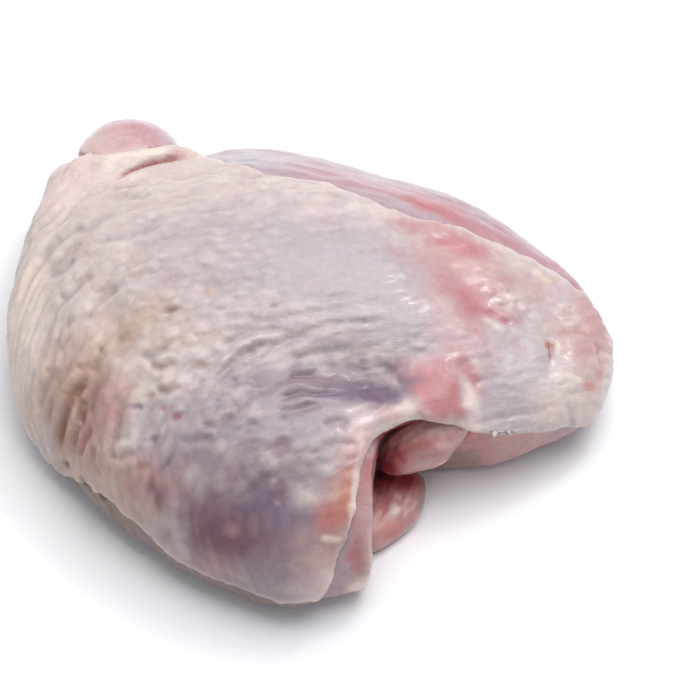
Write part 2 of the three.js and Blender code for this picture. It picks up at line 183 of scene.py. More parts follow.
SKIN_PATCHES = [
    # The ground colours: cool on the flat top, lilac over the dark meat, warm at the foot.
    (-20, 8, 46, 30, 26, 10, "grey_lilac", 0.8),
    (14, 0, 44, 34, 22, -12, "cool_grey", 0.95),
    (2, -28, 41, 26, 10, 8, "grey_lilac", 0.7),
    (32, -18, 38, 14, 9, -20, "cool_grey", 0.8),
    (-16, -46, 39, 30, 12, 10, "lilac", 0.95, 0.8),
    (-30, -57, 34, 18, 9, 18, "lilac", 0.7, 0.8),
    (4, -44, 39.5, 20, 11, 5, "lilac", 0.9, 0.8),
    (2, -58, 36, 16, 7, 5, "lilac", 0.7, 0.8),
    (-12, -74, 28, 28, 13, -8, "mauve", 0.95, 0.8),
    (-66, -32, 30, 17, 14, 60, "tan", 0.8, 0.8),
    (-62, -35, 29, 12, 5, 62, "brown", 0.2, 0.9),
    (-58, -55, 19, 20, 9, -45, "tan", 0.6),
    (-56.5, -42, 29.5, 11, 7, 65, "foot_rose", 0.85, 0.9),
    (-80.5, -27, 17, 3.5, 4.5, 0, "rose", 0.5, 0.9),
    (-43, -61, 26.5, 9, 6, -25, "foot_rose", 0.8, 0.9),
    (-40, -47, 33, 12, 7, 20, "grey_lilac", 0.6),
    (-51, -17, 39.5, 13, 6, 35, "sand", 0.7, 0.8),
    (-45, -16, 41.5, 5, 3, 30, "sand", 0.6),
    (-40, -24, 40.5, 10, 2.4, 5, "sand", 0.6, 0.8),
    # Painted light: a pale band along the left rim, where light falls brightly.
    (-85, -6, 21, 7, 36, 0, "cream", 0.8, 0.9),
    (-80, 57, 25, 14, 14, 0, "blush", 0.8),
    (-72, 52, 29, 14, 12, 20, "blush", 0.5),
    (59, -17, 30, 18, 13, -20, "cool_grey", 0.7),
    (54, -34, 27, 13, 10, 0, "cool_grey", 0.95, 0.8),
    (74, 10, 26, 18, 16, 0, "grey_lilac", 0.6),
    (79, -11, 23.5, 8, 9, 0, "faint_rose", 0.65, 0.8),
    (76, -30, 20, 11, 9, -30, "pale_skin", 0.9),
    (85, 2, 21, 6, 14, 0, "faint_rose", 0.8, 0.8),
    # Meat that shows through the thin skin of the right half.
    (44, 10, 37, 16, 13, -30, "faint_rose", 0.95, 0.8),
    (43, -14, 36.5, 12, 8, -30, "faint_rose", 0.65, 0.9),
    (36, 22, 38.5, 12, 3.5, -8, "rose", 0.5, 0.9),
    (44.5, 17, 37.2, 7.5, 3, -8, "rose", 1.0, 0.8),
    (48.5, -3.5, 34.6, 8, 6, -25, "rose", 0.95, 0.8),
    (56, -6, 32, 6, 1.8, -22, "rose", 0.6, 0.8),
    (66, 8, 29, 8, 6, -20, "faint_rose", 0.5, 0.9),
    (45, -27, 33, 8, 3.2, -55, "rose", 0.7, 0.8),
    (34, -28, 35.2, 7, 4, 20, "rose", 0.6, 0.9),
    (35.5, -36, 33.8, 9, 8, -45, "rose", 1.0, 0.45, 0.6),
    (33.5, -35.5, 34.2, 3.5, 4.5, -45, "red_meat", 0.35, 0.9),
    (40, -38.5, 32.2, 4.5, 3.5, -45, "red_meat", 0.3, 0.9),
    (37.5, -37, 33.5, 3, 2.4, -45, "blush", 0.2, 0.9),
    (46.5, -37, 30.5, 2.2, 7, 15, "blush", 0.7, 0.8, 0.3),
    (26, -42.5, 34.5, 6, 2.6, 20, "blush", 0.8, 0.8),
    # The veins, the bruises and the fat of the lower half.
    (13, -35, 37, 14, 6, 5, "plum", 0.85, 0.8),
    (19, -38.5, 36.3, 8, 4.5, 5, "plum", 1.0, 0.7, -0.3),
    (21, -37.2, 36, 7, 5, 5, "plum", 0.7, 0.8),
    (22, -45, 35.5, 5, 2.2, 15, "faint_rose", 0.6, 0.8),
    (-2, -36, 39, 12, 4, 5, "mauve", 0.7, 0.9),
    (-16, -72, 29, 9, 5, 10, "plum", 0.75, 0.8),
    (-4, -77, 27.5, 9, 7, 0, "plum", 0.5, 0.8),
    (-7, -66, 34, 9, 3.5, 0, "plum", 0.4, 0.8),
    (-24, -77, 23, 9, 8, -20, "wine", 1.0, 0.7),
    (-14.5, -81, 22, 8, 5.5, 0, "wine", 0.95, 0.7),
    (-22, -84, 14, 9, 4, -20, "foot_rose", 0.6),
    (-8, -87, 14, 14, 5, -12, "lilac", 0.8),
    (-3, -82, 24, 7, 6, 0, "mauve", 0.7, 0.9),
    (6, -84, 20, 8, 8, 0, "lobe_beige", 0.9, 0.8),
    (8, -88, 11, 10, 6, 0, "blush", 0.6),
    (1, -70, 32.2, 4.5, 3.5, 0, "grey_lilac", 0.6, 0.8),
    (12.5, -60, 34.8, 4, 9, -12, "faint_rose", 0.9, 0.8),
    (14.5, -49, 37.3, 5, 4, 30, "blush", 0.6, 0.8),
    (9.5, -72, 30, 4.2, 7, -10, "orange_fat", 0.75, 0.9),
    (10.8, -69, 31.4, 1.8, 5.5, -10, "orange_fat", 0.6, 0.8),
    (7.4, -75, 28.6, 3.6, 3.4, 0, "red_meat", 0.5, 0.9),
    (12.8, -72, 29.3, 0.9, 10, -7, "cream", 0.8, 0.8, 0.2),
    # Pale lumps with fat in them.
    (-17.5, -68.9, 31.4, 2.4, 1.5, 20, "cream", 0.25, 0.9, 0.25),
    (-31.3, -62.3, 31.3, 2.4, 1.6, 30, "cream", 0.25, 0.9, 0.25),
    (0.5, -70.8, 32.2, 2.4, 1.5, 0, "cream", 0.4, 0.9, 0.2),
    (-19.5, -76.5, 25, 1.6, 1.4, 0, "faint_rose", 0.6, 0.9, 0.15),
    (-14.4, -47.5, 39.6, 3.0, 1.4, 10, "pale_skin", 0.5, 0.9, 0.3),
    (-19.5, -41.5, 39.4, 3.0, 1.4, 30, "pale_skin", 0.5, 0.9, 0.3),
    (-47.2, -38.1, 34.4, 2.2, 1.7, 0, "cream", 0.35, 0.9, 0.3),
    (-24.5, -47.5, 38, 3.0, 1.4, 20, "pale_skin", 0.5, 0.9, 0.3),
    (-12, -10, 45.9, 2.6, 1.7, 15, "cream", 0.3, 0.8, 0.3),
    (70.5, 12.7, 26.9, 2.2, 1.6, 20, "sand", 0.8),
    (68, 15, 27.8, 1.6, 1.2, 0, "cream", 0.5, 0.6, 0.3),
    # Blood spots, follicles and scratches.
    (-36, -46, 35.9, 1.6, 1.1, 25, "brick", 0.6, 0.45, -0.5),
    (-41.8, -50.5, 31.9, 3.2, 1.1, 5, "mauve", 0.8, 0.8, -0.25),
    (-43.5, -38.4, 35.6, 1.5, 1.1, 0, "brown", 0.5, 0.8, -0.2),
    (-46.8, -41, 33.4, 2.0, 0.8, 0, "plum", 0.7, 0.8, -0.25),
    (-39.5, -43.2, 35.5, 1.3, 0.9, 0, "foot_rose", 0.8, 0.8, -0.15),
    (-45.7, -52.9, 29.6, 1.5, 1.0, 0, "trough", 0.9, 0.8, -0.2),
    (-44.7, -57, 27.8, 2.0, 1.1, -10, "brown", 0.6, 0.8, -0.25),
    (-38.4, -58.2, 30, 3.0, 0.9, 35, "mauve", 0.8, 0.8, -0.2),
    (-42.6, -62.8, 25.1, 1.4, 2.6, 0, "wine", 0.8, 0.8, -0.2),
    (-40, -65.5, 24.4, 1.6, 2.4, 0, "wine", 0.7, 0.8, -0.15),
    (-58.5, -21.9, 36.2, 0.8, 0.8, 0, "brown", 0.5, 0.8, -0.2),
    (-64.4, -26.2, 33, 1.1, 0.9, 0, "brown", 0.7, 0.8, -0.25),
    (-74.4, -23.6, 28.5, 0.9, 0.8, 0, "brown", 0.5, 0.8, -0.15),
    (-29.4, -31.4, 40.3, 2.0, 1.0, 5, "brown", 0.7, 0.8, -0.2),
    (-39.5, -13.6, 43, 2.8, 0.9, 5, "brown", 0.65, 0.8, -0.35),
    (-27.7, -9.3, 45.5, 2.4, 0.7, 5, "tan", 0.8, 0.8, -0.2),
    (-52.6, -19.5, 38.3, 1.8, 1.2, 30, "brown", 0.45, 0.8, -0.2),
    (-55.8, -14.6, 38.2, 1.6, 1.2, 30, "sand", 0.8),
    (-60.5, -38, 29.3, 1.3, 1.1, 0, "brown", 0.6, 0.8, -0.2),
    (-10, -13.9, 45.6, 1.4, 0.8, 0, "brown", 0.75, 0.8, -0.25),
    (-13.3, -16.3, 45, 1.1, 0.7, 20, "trough", 0.9, 0.8, -0.15),
    (-6.8, -59.1, 37.5, 2.6, 2.2, 20, "wine", 0.5, 0.6, -0.3),
    (-6.2, -49.4, 39.9, 1.3, 0.9, 0, "plum", 0.6, 0.8, -0.15),
    (-13.7, -52.5, 39, 2.2, 1.4, 0, "plum", 0.35, 0.6, -0.3),
    (69.2, -12.6, 26.7, 0.8, 1.3, 0, "orange_fat", 0.7, 0.5),
    (85, -17.9, 19.2, 2.4, 1.6, 70, "red_meat", 0.5, 0.9),
    (81.6, -22.4, 20.2, 3.0, 1.6, 20, "red_meat", 0.55, 0.9),
    (77, -22.5, 22, 2.0, 1.0, 0, "cream", 0.7, 0.6, 0.3),
    (-53.5, 58.4, 29.3, 6, 1.3, 25, "brick", 0.8, 0.6),
    (-43, 63.5, 29, 4, 2.4, 20, "faint_rose", 0.8, 0.6),
]

# A fold follows a line of points. It is a crease, or a ridge where its depth is under zero.
Fold = namedtuple("Fold", "depth width colour strength points")

SKIN_FOLDS = [
    # The slit at the hip, between a fat roll and a lip.
    (-0.9, 2.0, "cream", 0.9, [
        (-70, 58.5, 28.6), (-64, 61.5, 29.5), (-52, 64.2, 29.6), (-44, 67, 29),
    ]),
    (1.4, 1.2, "brick", 0.9, [
        (-62, 51.5, 30.6), (-57.3, 56.3, 29.4), (-52.8, 59.1, 29.3), (-48.2, 61, 29.2),
        (-41, 64.8, 28.8),
    ]),
    (-0.8, 1.2, "blush", 0.9, [
        (-64.5, 48, 31.8), (-59, 48.6, 32.4), (-54.5, 50.2, 32.8), (-50.5, 52, 33),
    ]),
    # Painted shade under the lip.
    (0.7, 1.0, "trough", 0.7, [(-62.6, 45.1, 32.6), (-57.4, 44.1, 34), (-51.9, 43.6, 35.6)]),
    # Soft troughs of the slack skin at the left, partly darkened with painted shade.
    (0.8, 1.9, "trough", 0.6, [
        (-73.4, 27.2, 32.9), (-67.1, 25, 35.7), (-63.3, 29.7, 36), (-57.9, 31.5, 37.2),
    ]),
    (0.8, 1.8, "trough", 0.6, [
        (-64.8, 16.4, 37.7), (-58.3, 16, 39.9), (-49.5, 18.4, 42.1), (-43.1, 25.2, 42.3),
    ]),
    (0.9, 2.0, "trough", 0.6, [(-82.6, 18.2, 28.8), (-78.9, 23, 30.8), (-75.5, 27, 32)]),
    (0.9, 2.0, "trough", 0.6, [(-79.1, 10.6, 30.5), (-74, 9.4, 34), (-69.5, 13.9, 36.1)]),
    (0.8, 1.8, "trough", 0.55, [
        (-74.1, -1.7, 33.6), (-70.6, -1.7, 35.4), (-66.4, 2.3, 37.4), (-62, 5, 38.7),
    ]),
    (0.7, 1.5, "trough", 0.5, [(-64.5, -7, 36.9), (-59, -5.5, 39.2), (-54.6, -2.3, 40.8)]),
    (0.7, 1.6, "trough", 0.5, [(-71, -12.5, 33.8), (-66.5, -11.5, 35.8), (-61.5, -10, 37.4)]),
    (0.6, 1.5, "trough", 0.45, [
        (-63.3, 38, 34.2), (-57, 39, 35.4), (-51.5, 36, 37.8), (-47, 39, 38),
    ]),
    # The deep folds of the foot.
    (1.4, 1.7, "brown", 0.9, [
        (-61, -29, 32.4), (-64.7, -32, 30.4), (-66.7, -33.8, 29), (-68.6, -39.1, 24.7),
        (-70.7, -42.7, 18.8), (-71.4, -44, 15),
    ]),
    (1.0, 1.8, "brown", 0.35, [(-57, -22.5, 36.4), (-60, -27, 34), (-61, -29, 32.4)]),
    (-0.6, 1.3, "tan", 0.6, [
        (-61.5, -31.5, 31), (-65.2, -38.5, 26.6), (-67, -43, 21), (-67.5, -45, 16),
    ]),
    (0.9, 1.4, "brown", 0.5, [
        (-58, -31, 33.8), (-62, -36.5, 29), (-65.6, -43.5, 22.5), (-66.3, -46, 17),
    ]),
    (1.0, 1.6, "brown", 0.4, [
        (-66.5, -22.5, 32.4), (-70, -28, 28.8), (-72.8, -34, 24.4), (-74, -38, 19),
    ]),
    (0.9, 1.7, "brown", 0.35, [
        (-70.7, -23.5, 30.1), (-72.7, -26.2, 28.2), (-75.1, -28.8, 25.4), (-76.6, -33, 20),
    ]),
    (0.9, 1.1, "brown", 0.6, [(-63, -34.4, 29.6), (-64.2, -37.2, 27.9), (-63.8, -41.5, 25.4)]),
    (1.0, 1.1, "brick", 0.45, [
        (-60.4, -42.5, 27.6), (-61.5, -44.8, 25.8), (-63.4, -47.2, 22), (-64.2, -48.3, 18.5),
    ]),
    (0.8, 0.9, "brown", 0.5, [(-58.8, -47.8, 25.4), (-59.3, -49.8, 23.2), (-60, -51.5, 20)]),
    (-0.3, 1.1, "cream", 0.5, [(-53.6, -50.9, 26.9), (-50.6, -50.4, 28.6), (-48.1, -50.3, 29.6)]),
    (0.9, 1.2, "foot_rose", 0.5, [(-55.2, -51.5, 25), (-51, -53.5, 26.2), (-46, -53.2, 28.8)]),
    # The long folds that run up from the lower middle.
    (0.9, 1.0, "trough", 0.8, [
        (-9.4, -23.3, 42.6), (-14.2, -26.6, 41.9), (-17.8, -28.5, 41.5), (-21.1, -31.2, 40.8),
        (-25.6, -36.9, 39.5), (-27.5, -41, 38.6),
    ]),
    (0.9, 1.2, "trough", 0.7, [
        (-6, -21, 43.6), (-14.3, -21.5, 43.6), (-18.8, -23.2, 43), (-25.5, -26.5, 41.8),
    ]),
    (-0.6, 1.4, "pale_skin", 0.6, [
        (-7, -23.3, 43), (-15, -24.4, 42.6), (-20, -27.5, 41.6), (-26, -33, 40),
    ]),
    (0.4, 0.9, "trough", 0.6, [
        (0.2, -11.5, 44.9), (6, -10.8, 45), (12, -9.5, 44.7), (15.1, -8, 44.5),
    ]),
    (0.45, 0.8, "trough", 0.7, [(3, -18.5, 43.4), (12, -17.8, 42.6), (21, -16.6, 41.4)]),
    (0.8, 0.9, "plum", 0.7, [(-5.2, -34.4, 39.2), (-0.5, -33.6, 38.5), (3.2, -32.6, 37.4)]),
    (1.1, 1.3, "plum", 0.8, [
        (-9.3, -42.8, 40), (-1.2, -40.6, 40), (4.5, -40.4, 39.2), (11.5, -37, 37.1),
    ]),
    (0.7, 1.1, "mauve", 0.7, [(-8.7, -47.5, 39.9), (-1.3, -46.5, 39.9), (5.5, -43.6, 39)]),
    (0.6, 1.1, "mauve", 0.6, [(-22, -38.5, 39.6), (-17, -36.5, 40.3), (-11, -37, 40.2)]),
    (0.7, 1.1, "mauve", 0.7, [(-29.5, -49.5, 36.9), (-24.5, -50.5, 37.3), (-19.5, -47.5, 38.8)]),
    (0.7, 1.2, "mauve", 0.6, [(-35, -54.5, 33.8), (-30, -53.8, 35.2), (-24, -54.5, 36)]),
    (0.7, 1.1, "brown", 0.45, [(-42.6, -36.8, 36.3), (-38.4, -38.6, 36.9), (-34.5, -37, 38.2)]),
    (0.8, 1.1, "brown", 0.4, [(-44.8, -30, 38), (-40.5, -31, 38.6), (-35.8, -29.4, 40)]),
    (0.7, 1.2, "trough", 0.7, [(-47.5, -26.2, 38.5), (-43.5, -27.8, 38.9), (-38.5, -24.5, 40.7)]),
    (0.6, 1.2, "trough", 0.6, [(-24.5, -17.6, 44.2), (-19, -17.4, 44.7), (-14.5, -16.8, 44.9)]),
    (0.5, 0.9, "wine", 0.6, [(-6.6, -65.5, 34.9), (-6.7, -69.5, 32.6), (-7.6, -72.4, 30.8)]),
    (0.5, 1.2, "plum", 0.5, [(-20.2, -70.5, 29.8), (-14.8, -68.6, 32), (-9, -64, 35.2)]),
    (0.7, 1.6, "plum", 0.5, [(13, -51.5, 37.2), (9, -49.5, 38.3), (4, -51.5, 38.6)]),
    # The thin skin of the knee end.
    (0.6, 0.9, "rose", 0.85, [(51.2, -4.6, 33.8), (55.6, -7.2, 32.1), (59.6, -8.6, 30.6)]),
    (-0.3, 1.0, "cream", 0.4, [(50, -8.3, 33.9), (54, -9.6, 32.6), (57.4, -11.4, 31.3)]),
    (0.6, 2.0, "rose", 0.45, [(43, -24.5, 34.4), (45.4, -27, 33.2), (48.9, -31.5, 30.4)]),
    (-0.5, 1.3, "blush", 0.6, [(44.5, -31, 32.4), (46, -35, 30.8), (45.6, -40, 28.8)]),
    (0.25, 0.6, "brick", 0.9, [(70.5, -10.9, 26.5), (70.2, -14.3, 26), (70.1, -18, 25.3)]),
    (0.5, 1.5, "foot_rose", 0.8, [
        (71.2, -9, 26.5), (75.5, -6, 25.2), (80.5, -4.8, 23.8), (84.1, -7, 21.8),
    ]),
    (0.5, 1.3, "foot_rose", 0.8, [(84.1, -7, 21.8), (85.4, -11, 20.6), (85, -16.5, 19.8)]),
    (-0.5, 1.2, "cream", 0.4, [(72.4, -9.5, 26.2), (72.6, -13, 25.9), (72.2, -17, 25)]),
    (-0.35, 0.8, "cream", 0.6, [(3.5, -79.6, 26), (7, -79.8, 25.7), (10.7, -79.8, 25)]),
    (0.4, 1.0, "trough", 0.4, [(72, -27, 22.6), (76, -32, 17.6), (76.5, -36, 13)]),
    # Notches of the lower edge at the left, with painted shade in them.
    (0.8, 1.3, "rim_brown", 0.9, [(-69.6, -45.6, 12.6), (-68.2, -46.8, 14.6)]),
    (1.8, 1.6, "rim_brown", 0.9, [(-63.6, -52, 13), (-61.8, -52.6, 16)]),
    (1.3, 1.3, "rim_brown", 0.8, [(-57.8, -57.5, 13.4), (-56.6, -57.8, 15.6)]),
]


# The fine wrinkles run level on the flat top and turn down towards the foot. The two directions
# blend into each other over FLOW_BLEND mm, and height counts for FLOW_DROP of its length.
FLOW_MIDDLE = (-45.0, -18.0, 38.0)
FLOW_STEEP = math.radians(63.6)
FLOW_LEVEL = math.radians(10.0)
FLOW_BLEND = 22.0
FLOW_DROP = 0.8


# ---- Fields ----


def smoothstep(low, high, value):
    share = np.clip((value - low) / (high - low), 0.0, 1.0)
    return share * share * (3.0 - 2.0 * share)


def bell(distance, width):
    """1 at no distance, and nearly 0 past twice the width."""
    return np.exp(-((distance / width) ** 2))


def lumps(points, size, seed):
    """Smooth noise, about -1 to 1, in lumps of about that size."""
    return np.array([noise.noise(point) for point in (points / size + seed).tolist()])


def blend(values, other, share):
    return values + (np.asarray(other) - values) * np.asarray(share)[:, None]


# How strong the fine noise is beside the wide one, and how far both push the edge of an oval in
# and out, as a share of its size.
FINE_NOISE = 0.5
OVAL_WOBBLE = 0.4


def ragged_noise(points, wide, fine):
    """Noise of two sizes in mm that keeps the edges of patches from looking drawn."""
    return lumps(points, wide, seed=3.0) + FINE_NOISE * lumps(points, fine, seed=4.0)


def oval_reach(points, oval, ragged, soft=SOFT_EDGE):
    """1 in the middle of an oval area, and 0 past its edge."""
    x, y, z = (points - (oval.x, oval.y, oval.z)).T
    turn = math.radians(oval.turn)
    along = (x * math.cos(turn) + y * math.sin(turn)) / oval.length
    across = (y * math.cos(turn) - x * math.sin(turn)) / oval.width
    depth = z / max(oval.length, oval.width)
    distance = np.sqrt(along**2 + across**2 + depth**2)
    return smoothstep(1.0 + soft, 1.0 - soft, distance * (1.0 + OVAL_WOBBLE * ragged))


def fold_reach(points, fold):
    """Distance to a fold's line, and the share of the way along it."""
    line = np.array(fold.points, float)
    lengths = np.linalg.norm(np.diff(line, axis=0), axis=1)
    starts = np.concatenate(([0.0], np.cumsum(lengths)))
    distance = np.full(len(points), np.inf)
    share = np.zeros(len(points))
    for start, end, length, before in zip(line[:-1], line[1:], lengths, starts):
        way = np.clip((points - start) @ (end - start) / length**2, 0.0, 1.0)
        away = np.linalg.norm(points - start - way[:, None] * (end - start), axis=1)
        nearer = away < distance
        distance[nearer] = away[nearer]
        share[nearer] = (before + way[nearer] * length) / starts[-1]
    return distance, share


def flow(points):
    """Place across and along the fine wrinkles, in mm."""
    x, y, z = (points - FLOW_MIDDLE).T
    steep = x * math.sin(FLOW_STEEP) - y * math.cos(FLOW_STEEP) + FLOW_DROP * z
    level = x * math.sin(FLOW_LEVEL) - y * math.cos(FLOW_LEVEL) - FLOW_DROP * z
    across = -FLOW_BLEND * np.logaddexp(-steep / FLOW_BLEND, -level / FLOW_BLEND)
    middle = (FLOW_STEEP + FLOW_LEVEL) / 2
    along = x * math.cos(middle) + y * math.sin(middle)
    return across, along


def scatter(points, spacing, seed):
    """Points that lie at least the spacing apart, drawn in a seeded order."""
    order = list(range(len(points)))
    random.Random(seed).shuffle(order)
    cells = {}
    kept = []
    keys = np.floor(points / spacing).astype(int).tolist()
    places = points.tolist()
    steps = (-1, 0, 1)
    around = [(i, j, k) for i in steps for j in steps for k in steps]
    for index in order:
        a, b, c = keys[index]
        place = places[index]
        near = [cells[key] for i, j, k in around if (key := (a + i, b + j, c + k)) in cells]
        if all(math.dist(place, other) > spacing for other in near):
            cells[(a, b, c)] = place
            kept.append(place)
    return np.array(kept)


def tree_of(places):
    tree = kdtree.KDTree(len(places))
    for index, place in enumerate(places):
        tree.insert(place, index)
    tree.balance()
    return tree


# ---- Meshes ----


# Loose triangles of a solid share a corner where they come this near, in mm.
SAME_CORNER = 0.001


def copy_of_node(node, name):
    """A copy of a solid as a new piece, merged, selected and active."""
    bpy.ops.object.select_all(action="DESELECT")
    piece = bpy.data.objects.new(name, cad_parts[node].data.copy())
    bpy.context.scene.collection.objects.link(piece)
    bpy.context.view_layer.objects.active = piece
    piece.select_set(True)
    piece.data.materials.clear()
    bpy.ops.object.mode_set(mode="EDIT")
    bpy.ops.mesh.select_all(action="SELECT")
    bpy.ops.mesh.customdata_custom_splitnormals_clear()
    bpy.ops.mesh.remove_doubles(threshold=SAME_CORNER * MM)
    bpy.ops.mesh.select_all(action="DESELECT")
    bpy.ops.object.mode_set(mode="OBJECT")
    return piece


def apply_modifier(piece, kind, **settings):
    modifier = piece.modifiers.new(kind.title(), kind)
    for name, value in settings.items():
        setattr(modifier, name, value)
    bpy.ops.object.modifier_apply(modifier=modifier.name)


def points_of(piece):
    """Places in mm and normals of a piece's vertices."""
    mesh = piece.data
    places = np.empty(len(mesh.vertices) * 3, np.float32)
    normals = np.empty(len(mesh.vertices) * 3, np.float32)
    mesh.vertices.foreach_get("co", places)
    mesh.vertices.foreach_get("normal", normals)
    return places.reshape(-1, 3).astype(float) / MM, normals.reshape(-1, 3).astype(float)


def move_points(piece, places):
    piece.data.vertices.foreach_set("co", (places * MM).astype(np.float32).ravel())
    piece.data.update()


def paint(piece, colours, wet, grain):
    """Stores each vertex's colour, wetness and place along the grain for the material."""
    opaque = np.insert(np.clip(colours, 0.0, 1.0), 3, 1.0, axis=1)
    layers = (
        ("tint", "FLOAT_COLOR", "color", opaque),
        ("wet", "FLOAT", "value", wet),
        ("grain", "FLOAT_VECTOR", "vector", grain),
    )
    for name, kind, field, values in layers:
        attribute = piece.data.attributes.new(name, kind, "POINT")
        attribute.data.foreach_set(field, np.asarray(values, np.float32).ravel())


def edges_of(piece):
    """Pairs of vertices of a sheet's edges, and which of them lie on its open border."""
    mesh = piece.data
    corner_edges = np.empty(len(mesh.loops), np.int32)
    mesh.loops.foreach_get("edge_index", corner_edges)
    ends = np.empty(len(mesh.edges) * 2, np.int32)
    mesh.edges.foreach_get("vertices", ends)
    return ends.reshape(-1, 2), np.bincount(corner_edges, minlength=len(mesh.edges)) == 1


def mean_of_neighbours(places, pairs):
    total = np.zeros_like(places)
    np.add.at(total, pairs[:, 0], places[pairs[:, 1]])
    np.add.at(total, pairs[:, 1], places[pairs[:, 0]])
    count = np.bincount(pairs.ravel(), minlength=len(places))[:, None]
    return total / np.maximum(count, 1)


def smooth_border(piece, rounds, rings):
    """Evens out the open border and the rings of points beside it."""
    places, _ = points_of(piece)
    pairs, cut = edges_of(piece)
    border = np.zeros(len(places), bool)
    border[pairs[cut]] = True
    beside = border.copy()
    for _ in range(rings):
        beside[pairs[beside[pairs].any(axis=1)]] = True
    beside &= ~border
    near = pairs[beside[pairs].any(axis=1)]
    for _ in range(rounds):
        places[border] = (places[border] + mean_of_neighbours(places, pairs[cut])[border]) / 2
        places[beside] = (places[beside] + mean_of_neighbours(places, near)[beside]) / 2
    move_points(piece, places)


def face_table(piece):
    """Corners of a triangle mesh's faces, and the faces' normals."""
    mesh = piece.data
    corners = np.empty(len(mesh.loops), np.int32)
    mesh.loops.foreach_get("vertex_index", corners)
    normals = np.empty(len(mesh.polygons) * 3, np.float32)
    mesh.polygons.foreach_get("normal", normals)
    return corners.reshape(-1, 3), normals.reshape(-1, 3)


# A triangle is folded over where the cosine between its normal and the normals around it, taken
# over so many rings of points, is under this.
FOLDED_COSINE = 0.7
NORMAL_RINGS = 3


def unfold(piece, rounds):
    """Relaxes the places where triangles beside a cut edge fold over one another."""
    for _ in range(rounds):
        places, normals = points_of(piece)
        pairs, cut = edges_of(piece)
        smooth = normals.copy()
        for _ in range(NORMAL_RINGS):
            smooth += mean_of_neighbours(smooth, pairs)
            smooth /= np.maximum(np.linalg.norm(smooth, axis=1), 1e-6)[:, None]
        corners, faces = face_table(piece)
        folded = (smooth[corners].mean(axis=1) * faces).sum(axis=1) < FOLDED_COSINE
        if not folded.any():
            break
        border = np.zeros(len(places), bool)
        border[pairs[cut]] = True
        loose = np.zeros(len(places), bool)
        loose[corners[folded]] = True
        loose[pairs[loose[pairs].any(axis=1)]] = True
        along = mean_of_neighbours(places, pairs[cut])
        around = mean_of_neighbours(places, pairs)
        target = np.where(border[:, None], along, around)
        places[loose] = (places[loose] + target[loose]) / 2
        move_points(piece, places)


def edge_distance(piece, places):
    """Distance in mm from each vertex to the nearest cut edge."""
    pairs, cut = edges_of(piece)
    tree = tree_of(places[np.unique(pairs[cut])].tolist())
    return np.array([tree.find(place)[2] for place in places.tolist()])


def finish_piece(piece, node, material):
    """Smooth shading, a material, and the frame's facts of a piece."""
    piece.data.shade_smooth()
    piece.data.materials.append(material)
    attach(piece, "root")
    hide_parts(node)


def dab(points, colours, palette, patches, ragged):
    """Paints the patches on the colours, and gives the height by which they rise."""
    rise = np.zeros(len(points))
    for patch in starmap(Patch, patches):
        reach = oval_reach(points, patch, ragged, patch.soft)
        colours = blend(colours, getattr(palette, patch.colour)[:], reach * patch.strength)
        rise += patch.rise * reach
    return colours, rise


# ---- Materials ----


def add_node(tree, kind, settings=None, links=None):
    """Adds a node: settings are its own or its inputs' values, and links come into its inputs."""
    node = tree.nodes.new(kind)
    for name, value in (settings or {}).items():
        if isinstance(name, str) and hasattr(node, name):
            setattr(node, name, value)
        else:
            node.inputs[name].default_value = value
    for name, source in (links or {}).items():
        tree.links.new(source, node.inputs[name])
    return node


# The colour is mottled in spots of this size in mm, and wet tissue is that much less rough.
MOTTLE_SIZE = 2.0
WET_SMOOTHING = 0.2


def tissue_material(name, roughness, subsurface, depth_mm, grain_mm, relief_mm):
    """Wet animal tissue. Its colour is painted on the vertices, and fine noise breaks it up."""
    material = bpy.data.materials.new(name)
    material.use_nodes = True
    tree = material.node_tree
    tree.nodes.clear()
    place = add_node(tree, "ShaderNodeTexCoord").outputs["Object"]
    tint = add_node(tree, "ShaderNodeAttribute", {"attribute_name": "tint"}).outputs["Color"]
    grain_place = add_node(tree, "ShaderNodeAttribute", {"attribute_name": "grain"}).outputs["Vector"]
    mottle = add_node(
        tree,
        "ShaderNodeTexNoise",
        {"Scale": 1 / (MOTTLE_SIZE * MM), "Detail": 5.0, "Roughness": 0.65},
        {"Vector": place},
    )
    light = add_node(
        tree,
        "ShaderNodeMapRange",
        {"From Min": 0.3, "From Max": 0.7, "To Min": 0.92, "To Max": 1.08},
        {"Value": mottle.outputs["Fac"]},
    )
    colour = add_node(
        tree,
        "ShaderNodeVectorMath",
        {"operation": "SCALE"},
        {0: tint, "Scale": light.outputs["Result"]},
    )
    grain = add_node(
        tree,
        "ShaderNodeTexNoise",
        {"Scale": 1 / grain_mm, "Detail": 4.0, "Roughness": 0.6},
        {"Vector": grain_place},
    )
    bump = add_node(
        tree,
        "ShaderNodeBump",
        {"Strength": 1.0, "Distance": relief_mm * MM},
        {"Height": grain.outputs["Fac"]},
    )
    wet = add_node(tree, "ShaderNodeAttribute", {"attribute_name": "wet"}).outputs["Fac"]
    rough = add_node(
        tree,
        "ShaderNodeMapRange",
        {"From Min": 0.0, "From Max": 1.0, "To Min": roughness, "To Max": roughness - WET_SMOOTHING},
        {"Value": wet},
    )
    shader = add_node(
        tree,
        "ShaderNodeBsdfPrincipled",
        {
            "IOR": 1.42,
            "Subsurface Weight": subsurface,
            "Subsurface Radius": (1.0, 0.45, 0.3),
            "Subsurface Scale": depth_mm * MM,
            "Coat Roughness": 0.14,
            "Coat IOR": 1.36,
        },
        {
            "Base Color": colour.outputs["Vector"],
            "Roughness": rough.outputs["Result"],
            "Coat Weight": wet,
            "Normal": bump.outputs["Normal"],
        },
    )
    add_node(tree, "ShaderNodeOutputMaterial", links={"Surface": shader.outputs["BSDF"]})
    return material


# ---- Skin ----

# The skin's outer face ends where the solid's surface turns by this many degrees.
CUT_ANGLE = 35.0
# In the outer face, points nearer than this are merged and slivers narrower than this go, in mm.
SHEET_SPACING = 0.9
SLIVER_WIDTH = 0.7
